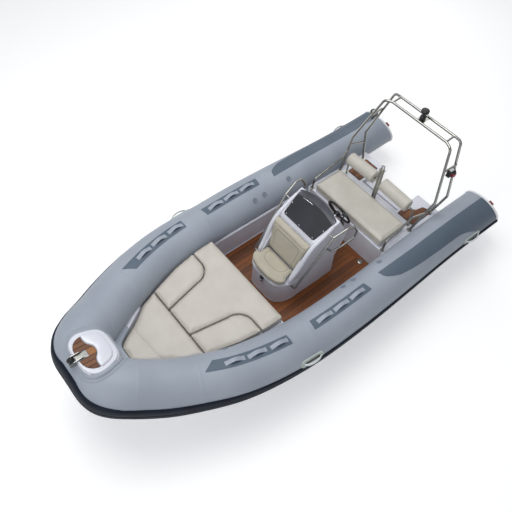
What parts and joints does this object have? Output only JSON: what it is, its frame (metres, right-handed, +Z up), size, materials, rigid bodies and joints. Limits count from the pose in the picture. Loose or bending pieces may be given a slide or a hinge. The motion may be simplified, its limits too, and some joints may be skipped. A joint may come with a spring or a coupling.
{
  "type": "rigid inflatable boat",
  "caption": "Rigid inflatable boat: U-shaped grey collar on a white hull, cushioned bow, jockey console, stern bench and stainless arch.",
  "frame": {"origin": "on the floor under the middle of the boat, in the middle of its overall box", "axes": "+X to the bow, +Y to port, +Z up"},
  "size_m": [5.0227, 2.2898, 1.717],
  "materials": {
    "black_plastic": "black",
    "black_rubber": "black",
    "bow_vinyl": "cream vinyl",
    "bright_plastic": "silver",
    "collar_fabric": "matt coated fabric",
    "gelcoat": "white gelcoat",
    "patch_rubber": "blue-grey",
    "rim_white": "white",
    "seat_vinyl": "cream vinyl",
    "smoked_screen": "smoked acrylic",
    "stainless": "polished stainless",
    "strake_rubber": "dark navy rubber",
    "teak_inlay": "brown synthetic teak",
    "teak_sole": "reddish-brown synthetic teak",
    "white_plastic": "white"
  },
  "bodies": {
    "boat": {"all_round_light": "black_plastic", "arch": "stainless", "backrest_frame": "stainless", "bench": "gelcoat", "bench_rail_port": "stainless", "bench_rail_stbd": "stainless", "bolster_port": "seat_vinyl", "bolster_stbd": "seat_vinyl", "bow_step": "gelcoat", "bow_step_inlay": "teak_inlay", "collar": "collar_fabric", "console": "gelcoat", "console_back_rest": "seat_vinyl", "console_rail_port": "stainless", "console_rail_stbd": "stainless", "cushion_centre": "bow_vinyl", "cushion_front": "bow_vinyl", "cushion_port": "bow_vinyl", "cushion_stbd": "bow_vinyl", "end_cap_port": "rim_white", "end_cap_stbd": "rim_white", "eye_bow": "stainless", "eye_stern_port": "stainless", "eye_stern_stbd": "stainless", "grab_aft_port": "white_plastic", "grab_aft_stbd": "white_plastic", "grab_fwd_port": "white_plastic", "grab_fwd_stbd": "white_plastic", "helm_boss": "bright_plastic", "hull": "gelcoat", "loops_aft_port": "patch_rubber", "loops_aft_stbd": "patch_rubber", "loops_fwd_port": "patch_rubber", "loops_fwd_stbd": "patch_rubber", "nav_light_port": "black_plastic", "nav_light_stbd": "black_plastic", "roller_bracket": "stainless", "rubbing_strake": "strake_rubber", "sole": "teak_sole", "stern_pad_port": "teak_inlay", "stern_pad_stbd": "teak_inlay", "throttle": "black_plastic", "windscreen": "smoked_screen"},
    "bow_roller": {"bow_roller": "black_rubber"},
    "helm": {"steering_wheel": "black_plastic"},
    "console_hatch": {"console_lid": "gelcoat", "console_seat": "seat_vinyl"},
    "bench_hatch": {"bench_lid": "gelcoat", "bench_cushion": "seat_vinyl"}
  },
  "joints": [
    {"name": "bow_roller_spin", "type": "hinge", "parent": "boat", "child": "bow_roller", "pos_m": [2.38083, 0, 1.243], "axis": [0, 1, 0], "continuous": true},
    {"name": "steering", "type": "hinge", "parent": "boat", "child": "helm", "pos_m": [-0.83917, 0, 0.798], "axis": [-0.9272, 0, 0.3746], "range_deg": [-540, 540]},
    {"name": "console_hatch_hinge", "type": "hinge", "parent": "boat", "child": "console_hatch", "pos_m": [0.01083, 0, 0.64], "axis": [0, 1, 0], "range_deg": [-60, 0]},
    {"name": "bench_hatch_hinge", "type": "hinge", "parent": "boat", "child": "bench_hatch", "pos_m": [-1.40917, 0, 0.66], "axis": [0, 1, 0], "range_deg": [-70, 0]}
  ]
}
